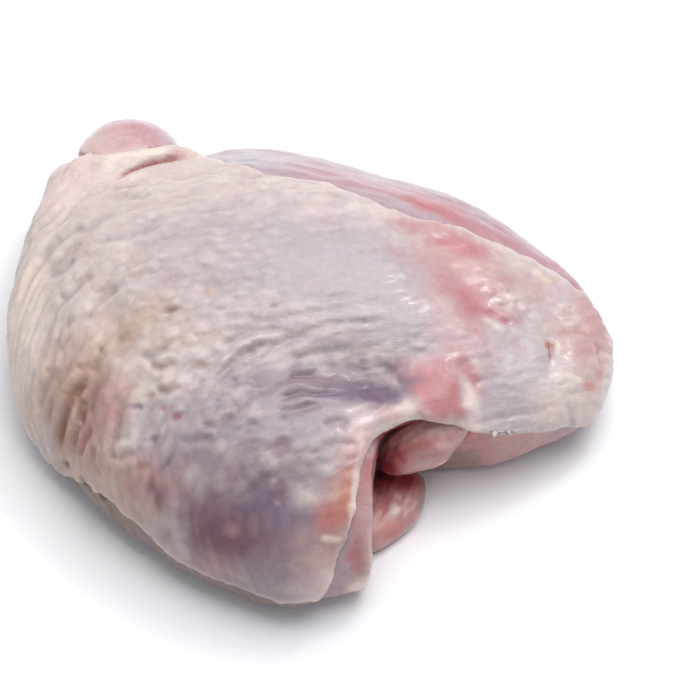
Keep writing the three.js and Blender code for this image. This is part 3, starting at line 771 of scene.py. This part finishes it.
# The most sides of a small hole that merging leaves, and of one that a cut-off fin leaves.
MERGED_HOLE = 4
FIN_HOLE = 6


def cut_off_fins():
    """Deletes the edges that more than two faces share, with those faces."""
    bpy.ops.mesh.select_mode(type="EDGE")
    bpy.ops.mesh.select_all(action="DESELECT")
    bpy.ops.mesh.select_non_manifold(use_wire=False, use_boundary=False, use_verts=False)
    bpy.ops.mesh.delete(type="EDGE")


def close_holes(sides):
    """Closes the holes that have so many sides at most, with triangles."""
    bpy.ops.mesh.fill_holes(sides=sides)
    bpy.ops.mesh.quads_convert_to_tris()


def loose_faces(piece):
    """Which triangles hang on the rest of a sheet by a corner at most."""
    mesh = piece.data
    corner_edges = np.empty(len(mesh.loops), np.int32)
    mesh.loops.foreach_get("edge_index", corner_edges)
    corner_edges = corner_edges.reshape(-1, 3)
    labels = np.arange(len(corner_edges))
    while True:
        edge_labels = np.full(len(mesh.edges), len(labels))
        np.minimum.at(edge_labels, corner_edges, labels[:, None])
        spread = edge_labels[corner_edges].min(axis=1)
        if (spread == labels).all():
            break
        labels = spread
    return labels != np.bincount(labels).argmax()


def keep_outer_sheet(piece):
    """Leaves only the skin's outer face, which its cut edges set off from the rest."""
    top = max(piece.data.polygons, key=lambda face: face.center.z)
    top.select = True
    piece.data.polygons.active = top.index
    bpy.ops.object.mode_set(mode="EDIT")
    bpy.ops.mesh.faces_select_linked_flat(sharpness=math.radians(CUT_ANGLE))
    bpy.ops.mesh.select_all(action="INVERT")
    bpy.ops.mesh.delete(type="FACE")
    bpy.ops.mesh.select_all(action="SELECT")
    bpy.ops.mesh.remove_doubles(threshold=SHEET_SPACING * MM)
    cut_off_fins()
    bpy.ops.mesh.select_all(action="SELECT")
    bpy.ops.mesh.dissolve_degenerate(threshold=SLIVER_WIDTH * MM)
    close_holes(MERGED_HOLE)
    cut_off_fins()
    bpy.ops.mesh.select_mode(type="FACE")
    bpy.ops.mesh.select_all(action="DESELECT")
    bpy.ops.object.mode_set(mode="OBJECT")
    piece.data.polygons.foreach_set("select", loose_faces(piece))
    bpy.ops.object.mode_set(mode="EDIT")
    bpy.ops.mesh.delete(type="FACE")
    bpy.ops.mesh.select_all(action="SELECT")
    close_holes(FIN_HOLE)
    bpy.ops.object.mode_set(mode="OBJECT")
    smooth_border(piece, rounds=6, rings=2)
    unfold(piece, rounds=40)


def relief_strengths(points, ragged):
    """Strength of the bumps, ridges and creases, and the wetness, for each point."""
    strengths = np.tile(PLAIN_RELIEF, (len(points), 1))
    for area in starmap(ReliefArea, RELIEF_AREAS):
        strengths = blend(strengths, area.strengths, oval_reach(points, area, ragged))
    return strengths.T


# Goose bumps lie at least BUMP_GAP apart and are BUMP_STRETCH times longer than wide. Climbing the
# piece's side counts for BUMP_CLIMB of its height. Each bump has a size between 0 and 1, and its
# radius grows with it. All lengths of bumps are shares of their spacing.
BUMP_GAP = 0.84
BUMP_STRETCH = 1.25
BUMP_CLIMB = 0.3
BUMP_SIZES = (0.2, 1.0)
SMALLEST_RADIUS = 0.36
RADIUS_GROWTH = 0.24
# A dome runs from its foot to its flat top at these shares of its radius.
DOME_FOOT = 1.1
DOME_TOP = 0.15
# The dark arc below a dome: its width, and how fast it thins towards its ends.
ARC_WIDTH = 0.15
ARC_THINNING = 1.5


def goose_bumps(points, spacing):
    """Domes of many sizes, longer along the wrinkles, and the dark arcs at their lower side."""
    across, along = flow(points)
    climb = points[:, 2] * BUMP_CLIMB
    stretched = np.stack((across, along / BUMP_STRETCH, climb), axis=1) / spacing
    seeds = scatter(stretched, BUMP_GAP, seed=11)
    draws = np.random.default_rng(seed=12)
    sizes = draws.uniform(*BUMP_SIZES, len(seeds))
    marks = draws.random(len(seeds))
    tree = tree_of(seeds.tolist())
    near = np.array([[hit[1] for hit in tree.find_n(place, 2)] for place in stretched.tolist()])
    dome = np.zeros(len(points))
    arc = np.zeros(len(points))
    for owner in near.T:
        offset = stretched - seeds[owner]
        reach = np.linalg.norm(offset, axis=1)
        size = sizes[owner]
        radius = SMALLEST_RADIUS + RADIUS_GROWTH * size
        dome = np.maximum(dome, size * smoothstep(radius * DOME_FOOT, radius * DOME_TOP, reach))
        below = np.clip(offset[:, 0] / np.maximum(reach, 1e-6), 0.0, 1.0) ** ARC_THINNING
        arc = np.maximum(arc, size * below * bell(reach - radius, ARC_WIDTH))
    return dome, arc, marks[near[:, 0]]


# The size of a ridge and of a crease: across and along as shares of the ridge spacing, and in
# height in mm. Both are bent by a wobble in mm, over so many mm.
RIDGE_GRAIN = (0.55, 2.6, 24.0)
CREASE_GRAIN = (0.4, 2.2, 20.0)
WOBBLE = 2.0
WOBBLE_RUN = 12.0
RIDGE_CONTRAST = 1.6
CREASE_WIDTH = 0.09


def ridges(points, spacing):
    """Soft ridges, about -1 to 1, and fine creases, 0 to 1, along the wrinkles."""
    across, along = flow(points)
    bent = across + WOBBLE * lumps(points, WOBBLE_RUN, seed=5.0)

    def grained(width, length, climb):
        sides = (bent / (width * spacing), along / (length * spacing), points[:, 2] / climb)
        return np.stack(sides, axis=1)

    soft = RIDGE_CONTRAST * lumps(grained(*RIDGE_GRAIN), 1.0, seed=31.0)
    crease = bell(lumps(grained(*CREASE_GRAIN), 1.0, seed=17.0), CREASE_WIDTH)
    return np.clip(soft, -1.0, 1.0), crease


# The skin's lower edge at the front: its height in mm, and the rises of that height between two X.
LOWER_EDGE_HEIGHT = 4.0
LOWER_EDGE_RISES = ((-75.0, -60.0, 11.0), (-56.0, -30.0, -5.5), (0.0, 8.0, -2.0))
LOWER_EDGE_WOBBLE = 1.1
# It sets in between these Y, and ends between these X.
LOWER_EDGE_Y = (-28.0, -36.0)
LOWER_EDGE_X = (20.0, 10.0)
# Painted shade covers the band between these heights over the edge, and a pale line of this width, cream
# with a painted highlight, lies on it.
SHADED_BAND = (0.5, -0.3)
PALE_LINE = 0.9
PALE_LINE_WIDTH = 0.8


def lower_edge(points, ragged):
    """1 below the skin's lower edge at the front, where shade is painted, and the edge's own line."""
    x, y, z = points.T
    height = np.full(len(points), LOWER_EDGE_HEIGHT)
    for start, end, rise in LOWER_EDGE_RISES:
        height += rise * smoothstep(start, end, x)
    above = z - height + LOWER_EDGE_WOBBLE * ragged
    front = smoothstep(*LOWER_EDGE_Y, y) * smoothstep(*LOWER_EDGE_X, x)
    return smoothstep(*SHADED_BAND, above) * front, bell(above - PALE_LINE, PALE_LINE_WIDTH) * front


# Sizes in mm of the noise of the skin: patch edges (wide and fine), lumps, breaks in the creases,
# tone, and the sway of the cut edge.
SKIN_RAGGED = (6.0, 2.4)
LUMP_SIZE = 13.0
CREASE_RUN = 10.0
SKIN_TONE_SIZE = 8.0
SWAY_SIZE = 7.0
# The relief fades in between these distances from a cut edge, in mm.
RELIEF_FADE = (0.3, 4.0)
# Creases break off where their noise is under the first and run whole above the second.
CREASE_BREAK = (-0.5, 0.4)
# The arc below a bump is sunk by this share of the bump's height.
ARC_DEPTH = 0.55

Relief = namedtuple("Relief", "dome arc mark ridge crease")


def skin_relief(points, edge, ragged, sizes):
    """The bumps, ridges and creases of the skin, their height in mm, and its wetness."""
    bumpy, ridged, creased, wet = relief_strengths(points, ragged)
    inland = smoothstep(*RELIEF_FADE, edge)
    dome, arc, mark = goose_bumps(points, sizes.bump_spacing / MM)
    ridge, crease = ridges(points, sizes.ridge_spacing / MM)
    dome *= bumpy * inland
    arc *= bumpy * inland
    ridge *= ridged * inland
    crease *= creased * inland * smoothstep(*CREASE_BREAK, lumps(points, CREASE_RUN, seed=61.0))
    height = sizes.unevenness / MM * lumps(points, LUMP_SIZE, seed=8.0)
    height += sizes.bump_height / MM * (dome - ARC_DEPTH * arc)
    height += sizes.ridge_height / MM * ridge
    height -= sizes.crease_depth / MM * crease
    return Relief(dome, arc, mark, ridge, crease), height, wet


# What the warm and the cool tone and the painted shade of a hollow, partly thin skin's lilac, do to red,
# green and blue.
WARM_TONE = (1.02, 0.93, 0.93)
COOL_TONE = (1.06, 1.05, 1.0)
HOLLOW_SHADE = (0.74, 0.69, 0.72)
# How much painted shade darkens a ridge's foot, an arc and a crease, and how pale a bump's top is.
RIDGE_SHADE = 0.6
ARC_SHADE = 0.6
CREASE_SHADE = 0.5
BUMP_PALENESS = 0.3
# Each bump has a mark between 0 and 1. Low ones are pink, high ones cream, and the very highest
# have a brown arc of that strength.
PINK_MARKS = (0.5, 0.0)
CREAM_MARKS = (0.2, 0.9)
BROWN_MARKS = 0.86
BROWN_ARC = 0.3


def tone_skin(points, colours, palette, relief):
    """Varies the skin's colours in wide areas and on the bumps, and paints shade in the hollows."""
    tone = lumps(points, SKIN_TONE_SIZE, seed=52.0)
    colours = blend(colours, colours * WARM_TONE, np.clip(tone, 0.0, 1.0))
    colours = blend(colours, colours * COOL_TONE, np.clip(-tone, 0.0, 1.0))
    top = BUMP_PALENESS * relief.dome
    colours = blend(colours, palette.cream[:], top * smoothstep(*CREAM_MARKS, relief.mark))
    colours = blend(colours, palette.blush[:], top * smoothstep(*PINK_MARKS, relief.mark))
    # Painted shade at the foot of a ridge, in the arcs below the bumps and in the creases.
    dark = RIDGE_SHADE * np.clip(-relief.ridge, 0.0, 1.0)
    dark = dark + ARC_SHADE * relief.arc + CREASE_SHADE * relief.crease
    colours = blend(colours, colours * HOLLOW_SHADE, np.clip(dark, 0.0, 1.0))
    return blend(colours, palette.brown[:], BROWN_ARC * relief.arc * (relief.mark > BROWN_MARKS))


# A fold runs out over this share of its length at both ends, and wavers by this many mm. Its lip
# lies so many widths beside it, and rises by this share of its depth.
FOLD_END = 0.22
FOLD_WAVER = 0.25
LIP_PLACE = 2.2
LIP_RISE = 0.3


def press_folds(points, height, colours, palette, ragged):
    """Presses the folds into the skin's height and paints them."""
    for fold in starmap(Fold, SKIN_FOLDS):
        distance, share = fold_reach(points, fold)
        taper = smoothstep(0.0, FOLD_END, share) * smoothstep(1.0, 1.0 - FOLD_END, share)
        wavy = distance + FOLD_WAVER * ragged
        hollow = bell(wavy, fold.width)
        height = height - fold.depth * hollow * taper
        height += LIP_RISE * fold.depth * bell(wavy - LIP_PLACE * fold.width, fold.width) * taper
        colour = getattr(palette, fold.colour)[:]
        colours = blend(colours, colour, hollow * taper * fold.strength)
    return height, colours


# Below the lower edge the skin is thinner by this many mm, and so much painted shade shows.
BARE_STEP = 0.7
SHADED_BAND_COLOUR = 0.85
# The pale line along the lower edge is cream with a painted highlight on it.
PALE_LINE_COLOUR = 0.4
# Fat shows along a cut edge between these distances in mm, with a ragged border, where the skin
# doesn't face down.
FATTY_REACH = (3.0, 0.6)
FATTY_WOBBLE = 0.6
FATTY_FACING = (-0.4, 0.0)
FATTY_COLOUR = 0.55


def finish_edges(points, normals, edge, height, colours, palette, ragged, rounding):
    """Rounds the cut edges, shows the fat along them and paints shade below the lower edge."""
    below, line = lower_edge(points, ragged)
    height = height - BARE_STEP * below
    colours = blend(colours, palette.cream[:], PALE_LINE_COLOUR * line)
    colours = blend(colours, palette.rim_brown[:], SHADED_BAND_COLOUR * below)
    inside = np.clip(rounding - edge, 0.0, rounding)
    height -= rounding - np.sqrt(np.maximum(rounding**2 - inside**2, 0.0))
    fatty = smoothstep(*FATTY_REACH, edge * (1.0 + FATTY_WOBBLE * ragged))
    fatty = fatty * smoothstep(*FATTY_FACING, normals[:, 2])
    return height, blend(colours, palette.cream[:], FATTY_COLOUR * fatty)


# The cut edge sways by this many mm, which dies out over this distance from it.
SWAY = 0.9
SWAY_REACH = 5.0
# The fine wrinkles of the material are this much longer than wide, and climb the side slower.
WRINKLE_STRETCH = 2.5
WRINKLE_CLIMB = 0.6


def sway_edges(points, edge):
    """How far each point of the skin sways along X and Y, in mm."""
    drift = np.stack([lumps(points, SWAY_SIZE, seed=seed) for seed in (41.0, 47.0)], axis=1)
    return drift * (np.exp(-edge / SWAY_REACH)[:, None] * SWAY)


# At its cut edge the skin has this share of its thickness, and all of it from this many mm on.
EDGE_THICKNESS = 0.35
FULL_THICKNESS_FROM = 5.0
# The hidden inner face keeps this share of its triangles, but all of them near the edge, in mm.
INNER_SHARE = 0.62
INNER_RIM = 1.5


def thicken(piece, edge, thickness):
    """Gives the skin its wall, and thins out the triangles of the hidden inner face."""
    thin = piece.vertex_groups.new(name="thickness")
    for index, share in enumerate(smoothstep(0.0, FULL_THICKNESS_FROM, edge).tolist()):
        thin.add([index], EDGE_THICKNESS + (1.0 - EDGE_THICKNESS) * share, "REPLACE")
    inner = piece.vertex_groups.new(name="inner")
    apply_modifier(
        piece,
        "SOLIDIFY",
        thickness=thickness,
        offset=-1.0,
        vertex_group=thin.name,
        shell_vertex_group=inner.name,
    )
    rim = np.nonzero(edge < INNER_RIM)[0] + len(edge)
    piece.vertex_groups["inner"].remove(rim.tolist())
    apply_modifier(piece, "DECIMATE", ratio=INNER_SHARE, vertex_group="inner")


class THIGH_OT_add_skin(bpy.types.Operator):
    """Adds the goose-bumped skin with its folds and its fatty cut edges"""

    bl_idname = "thigh.add_skin"
    bl_label = "Skin"

    def execute(self, context):
        sizes = context.scene.thigh_sizes
        palette = context.scene.thigh_colours
        piece = copy_of_node("skin", "goose_bumped_skin")
        keep_outer_sheet(piece)
        apply_modifier(piece, "SUBSURF", levels=2, render_levels=2)
        points, normals = points_of(piece)
        edge = edge_distance(piece, points)
        ragged = ragged_noise(points, *SKIN_RAGGED)

        relief, height, wet = skin_relief(points, edge, ragged, sizes)
        colours = np.tile(palette.pale_skin[:], (len(points), 1))
        colours, rise = dab(points, colours, palette, SKIN_PATCHES, ragged)
        colours = tone_skin(points, colours, palette, relief)
        height, colours = press_folds(points, height + rise, colours, palette, ragged)
        rounding = sizes.edge_rounding / MM
        height, colours = finish_edges(
            points, normals, edge, height, colours, palette, ragged, rounding
        )

        places = points + normals * height[:, None]
        places[:, :2] += sway_edges(points, edge)
        move_points(piece, places)
        smooth_border(piece, rounds=12, rings=3)
        across, along = flow(points)
        climb = WRINKLE_CLIMB * points[:, 2]
        paint(piece, colours, wet, np.stack((across, along / WRINKLE_STRETCH, climb), axis=1))
        thicken(piece, edge, sizes.skin_thickness)
        # Raw poultry skin: a wet, slightly see-through hide that glints on its ridges.
        skin = tissue_material(
            "raw_poultry_skin", roughness=0.5, subsurface=0.2, depth_mm=1.6, grain_mm=1.1, relief_mm=0.18
        )
        finish_piece(piece, "skin", skin)
        return {"FINISHED"}


# ---- Meat ----

MEAT_PATCHES = [
    (-18, 61, 31, 14, 7, -24, "membrane", 0.9),
    (8, 49, 34, 16, 5, -20, "faint_rose", 0.6),
    (30, 41, 32, 12, 6, -24, "faint_rose", 0.5),
    (40, 40, 31, 10, 6, -24, "rose", 0.9, 0.8),
    (36, 38, 31.5, 8, 2, -24, "red_meat", 0.5, 0.8),
    (50, 33, 28, 12, 4, -30, "rose", 0.7),
    (70, 22, 20, 22, 8, -34, "rose", 0.5),
    (17, -62, 30, 3, 8, 0, "faint_rose", 0.9),
    (17.5, -60, 28, 4, 6, 0, "red_meat", 0.6),
    (17, -72, 14, 6, 16, 0, "faint_rose", 0.95, 0.8),
    (17.5, -70, 24, 5, 7, 0, "lobe_beige", 0.4),
    (13.8, -80, 17, 2.4, 5, 0, "red_meat", 0.5, 0.5, -0.5),
    (16.6, -80, 16, 1.6, 8, 0, "lobe_beige", 0.8, 0.5, 0.3),
    (15.5, -83.5, 7, 4, 5, 0, "cream", 0.9),
    (24, -44, 24, 9, 14, 0, "deep_red", 0.9),
    # Painted shade over the red meat in the hollow under the arch.
    (20, -50, 12, 8, 10, 0, "dark_red", 0.9),
    (54, -39, 12, 20, 6, 12, "muscle_pink", 0.8),
    (56, -40, 8, 20, 3, 12, "rose", 0.6),
    (50, -38, 15, 16, 3, 12, "red_meat", 0.5, 0.8),
    (62, -38, 4, 14, 5, 10, "lobe_beige", 0.7),
    # Painted shade where the meat meets the table under the lump.
    (40, -40, 4, 10, 6, 0, "rim_brown", 0.8),
]

HIP_PATCHES = [
    (-74, 70, 24, 12, 12, 0, "blush", 1.0, 0.9),
    (-62, 66, 28, 14, 2.5, 5, "blush", 0.6),
    (-60, 88, 16, 20, 5, 0, "membrane", 0.7),
    (-45, 76, 22, 5, 10, 0, "membrane", 0.9),
    (-56, 73, 28.5, 11, 6, 5, "rose", 0.35, 0.9),
]

# The hip muscle's near side is drawn this far under the skin's rolled edge, in mm, and the Y
# between which that sets in.
HIP_TUCK = 3.0
HIP_TUCK_Y = (73.0, 66.0)

KNEE_PATCHES = [
    (36, -43.5, 24, 10, 3, -6, "lobe_beige", 0.7, 0.8),
    (43, -45, 21, 5, 4, -10, "faint_rose", 0.8, 0.8),
    (25, -47.5, 16.5, 8, 3.5, 10, "red_meat", 0.9, 0.8),
    (31, -47, 21, 8, 1.2, 15, "red_meat", 0.7, 0.8, -0.5),
    (38, -48, 18.5, 6, 1.2, 10, "rose", 0.9, 0.8, -0.4),
    (22, -46, 14, 5, 4, 0, "deep_red", 0.9, 0.8),
    (36, -50, 16, 9, 2.4, 0, "lobe_beige", 0.7, 0.6),
]

FLAP_PATCHES = [
    # Painted shade over the red meat where the flap runs into the hollow.
    (22, -47, 7, 9, 6, 0, "dark_red", 0.9),
    (28, -47, 7, 8, 3.5, 0, "deep_red", 0.7),
    (24, -54, 7, 4, 6, 20, "red_meat", 0.4, 0.9),
    (29, -58, 5, 5, 7, 30, "faint_rose", 0.6),
    # Painted shade along the flap's right edge.
    (33.5, -51, 5, 2.4, 7, 0, "rim_brown", 0.8),
    (24.7, -57, 7.2, 1.8, 2.4, 0, "blush", 0.8, 0.6, 0.4),
    (18.5, -68, 4, 5, 3, 0, "lobe_beige", 0.7),
]


def remeshed_copy(node, name, voxel_mm, smoothing):
    """A copy of a solid with an even fine mesh and rounded edges."""
    piece = copy_of_node(node, name)
    apply_modifier(piece, "REMESH", mode="VOXEL", voxel_size=voxel_mm * MM)
    apply_modifier(piece, "SMOOTH", factor=0.5, iterations=smoothing)
    return piece


def along_fibres(points, heading, stretch):
    """Places turned to a heading in degrees, and stretched along the muscle's fibres."""
    turn = math.radians(heading)
    x, y, z = points.T
    along = x * math.cos(turn) + y * math.sin(turn)
    across = y * math.cos(turn) - x * math.sin(turn)
    return np.stack((along / stretch, across, z), axis=1)


# Sizes in mm of the noise of the meat: patch edges (wide and fine), lumps and tone.
MEAT_RAGGED = (5.0, 2.0)
MEAT_LUMP_SIZE = 7.0
MEAT_LUMP_HEIGHT = 0.4
MEAT_TONE_SIZE = 6.0
# Bundles of fibres are this much longer than wide, and the material's finer ones this much.
BUNDLE_STRETCH = 8.0
FINE_STRETCH = 5.0
# The relief fades out towards the table between these heights in mm.
TABLE_FADE = (0.3, 3.0)
# What a gap between bundles and the warm tone do to red, green and blue, and how much of the
# gap's shade and of the membrane on a bundle shows.
GAP_SHADE = (0.9, 0.8, 0.82)
MEAT_WARM_TONE = (1.0, 0.86, 0.86)
GAP_SHOWS = 0.7
MEMBRANE_SHOWS = 0.25


def dress_meat(piece, context, base, patches, heading, wet, relief=1.0):
    """Gives bare meat its fibres, their height by the relief, and its colours."""
    sizes = context.scene.thigh_sizes
    palette = context.scene.thigh_colours
    points, normals = points_of(piece)
    ragged = ragged_noise(points, *MEAT_RAGGED)
    width = sizes.fibre_width / MM
    fibres = lumps(along_fibres(points, heading, BUNDLE_STRETCH) / width, 1.0, seed=23.0)
    lumpy = MEAT_LUMP_HEIGHT * lumps(points, MEAT_LUMP_SIZE, seed=9.0)
    height = relief * (sizes.fibre_height / MM * fibres + lumpy)
    colours = np.tile(getattr(palette, base)[:], (len(points), 1))
    colours, rise = dab(points, colours, palette, patches, ragged)
    height = (height + rise) * smoothstep(*TABLE_FADE, points[:, 2])
    colours = blend(colours, colours * GAP_SHADE, GAP_SHOWS * np.clip(-fibres, 0.0, 1.0))
    colours = blend(colours, palette.membrane[:], MEMBRANE_SHOWS * np.clip(fibres, 0.0, 1.0))
    tone = lumps(points, MEAT_TONE_SIZE, seed=52.0)
    colours = blend(colours, colours * MEAT_WARM_TONE, np.clip(tone, 0.0, 1.0))
    move_points(piece, points + normals * height[:, None])
    paint(piece, colours, np.full(len(points), wet), along_fibres(points, heading, FINE_STRETCH))


class THIGH_OT_add_meat(bpy.types.Operator):
    """Adds the thigh meat that shows along the back, under the arch and at the lobe's end"""

    bl_idname = "thigh.add_meat"
    bl_label = "Thigh meat"

    def execute(self, context):
        piece = remeshed_copy("thigh_meat", "bare_thigh_meat", voxel_mm=1.2, smoothing=10)
        dress_meat(piece, context, "pale_meat", MEAT_PATCHES, heading=-24.0, wet=0.5)
        # Raw dark poultry meat under silver skin: moist and a little see-through.
        meat = tissue_material(
            "raw_thigh_meat", roughness=0.45, subsurface=0.25, depth_mm=2.5, grain_mm=1.0, relief_mm=0.2
        )
        finish_piece(piece, "thigh_meat", meat)
        return {"FINISHED"}


class THIGH_OT_add_muscles(bpy.types.Operator):
    """Adds the hip muscle, the knee muscle and the flap under the lobe"""

    bl_idname = "thigh.add_muscles"
    bl_label = "Muscles"

    def execute(self, context):
        # Fresh muscle: deeper red, wet, with a skin-like shine.
        muscle = tissue_material(
            "raw_muscle", roughness=0.42, subsurface=0.3, depth_mm=2.5, grain_mm=1.0, relief_mm=0.2
        )
        hip = remeshed_copy("hip_muscle", "hip_muscle_bulge", voxel_mm=0.8, smoothing=6)
        dress_meat(hip, context, "pink_meat", HIP_PATCHES, heading=5.0, wet=0.5)
        places, _ = points_of(hip)
        places[:, 1] -= HIP_TUCK * smoothstep(*HIP_TUCK_Y, places[:, 1])
        move_points(hip, places)
        finish_piece(hip, "hip_muscle", muscle)
        knee = remeshed_copy("knee_muscle", "knee_muscle_lump", voxel_mm=0.6, smoothing=6)
        dress_meat(knee, context, "muscle_pink", KNEE_PATCHES, heading=14.0, wet=0.7, relief=1.8)
        finish_piece(knee, "knee_muscle", muscle)
        flap = remeshed_copy("under_flap", "under_flap_meat", voxel_mm=0.6, smoothing=6)
        dress_meat(flap, context, "flap_rose", FLAP_PATCHES, heading=70.0, wet=0.7, relief=1.8)
        finish_piece(flap, "under_flap", muscle)
        return {"FINISHED"}


# ---- Stage ----

CAMERA_PLACE = (12.0, -340.9, 415.6)
CAMERA_TARGET = (12.0, -7.3, 18.0)
KEY_PLACE = (150.0, 230.0, 780.0)
KEY_WIDTH = 900.0
GLINT_PLACE = (330.0, 380.0, 640.0)
GLINT_WIDTH = 120.0
FLOOR_WIDTH = 6000.0


def aim(thing, target):
    way = Vector(target) * MM - thing.location
    thing.rotation_euler = way.to_track_quat("-Z", "Y").to_euler()


def add_light(name, place, width, power):
    bpy.ops.object.light_add(type="AREA", location=[value * MM for value in place])
    light = bpy.context.active_object
    light.name = name
    light.data.size = width * MM
    light.data.energy = power
    aim(light, (0, 0, 0))


class THIGH_OT_add_stage(bpy.types.Operator):
    """Adds the white floor, the soft light and the camera"""

    bl_idname = "thigh.add_stage"
    bl_label = "Stage"

    def execute(self, context):
        settings = context.scene.thigh_stage
        bpy.ops.object.select_all(action="DESELECT")
        bpy.ops.mesh.primitive_plane_add(size=FLOOR_WIDTH * MM, location=(0, 0, 0))
        floor = context.active_object
        floor.name = "white_floor"
        # Matt white laminate: bright, with no shine of its own.
        white = bpy.data.materials.new("white_laminate")
        white.use_nodes = True
        shader = white.node_tree.nodes["Principled BSDF"]
        shader.inputs["Base Color"].default_value = (*linear("#f4f4f5"), 1.0)
        shader.inputs["Roughness"].default_value = 0.6
        floor.data.materials.append(white)

        add_light("soft_key_light", KEY_PLACE, KEY_WIDTH, settings.key_power)
        add_light("small_glint_light", GLINT_PLACE, GLINT_WIDTH, settings.glint_power)

        world = bpy.data.worlds.new("white_room")
        context.scene.world = world
        world.use_nodes = True
        sky = world.node_tree.nodes["Background"]
        sky.inputs["Color"].default_value = (*linear("#f6f8ff"), 1.0)
        sky.inputs["Strength"].default_value = settings.sky_strength

        bpy.ops.object.camera_add(location=[value * MM for value in CAMERA_PLACE])
        camera = context.active_object
        camera.name = "photo_camera"
        camera.data.lens = settings.lens
        aim(camera, CAMERA_TARGET)
        context.scene.camera = camera
        context.scene.view_settings.view_transform = "Standard"
        return {"FINISHED"}


# ---- Panel and run ----


class THIGH_PT_panel(bpy.types.Panel):
    """Lists what can be added and changed."""

    bl_idname = "THIGH_PT_panel"
    bl_label = "Raw turkey thigh"
    bl_space_type = "VIEW_3D"
    bl_region_type = "UI"
    bl_category = "Turkey thigh"

    def draw(self, context):
        layout = self.layout
        for operator in OPERATORS:
            layout.operator(operator.bl_idname)
        scene = context.scene
        for group in (scene.thigh_sizes, scene.thigh_colours, scene.thigh_stage):
            box = layout.box()
            for name in group.__annotations__:
                box.prop(group, name)


OPERATORS = (THIGH_OT_add_skin, THIGH_OT_add_meat, THIGH_OT_add_muscles, THIGH_OT_add_stage)
CLASSES = (ThighSizes, ThighColours, ThighStage, *OPERATORS, THIGH_PT_panel)


def register():
    for added in CLASSES:
        bpy.utils.register_class(added)
    bpy.types.Scene.thigh_sizes = bpy.props.PointerProperty(type=ThighSizes)
    bpy.types.Scene.thigh_colours = bpy.props.PointerProperty(type=ThighColours)
    bpy.types.Scene.thigh_stage = bpy.props.PointerProperty(type=ThighStage)


def unregister():
    del bpy.types.Scene.thigh_stage
    del bpy.types.Scene.thigh_colours
    del bpy.types.Scene.thigh_sizes
    for added in reversed(CLASSES):
        bpy.utils.unregister_class(added)


def main():
    register()
    bpy.ops.thigh.add_skin()
    bpy.ops.thigh.add_meat()
    bpy.ops.thigh.add_muscles()
    bpy.ops.thigh.add_stage()


if __name__ == "__main__":
    main()
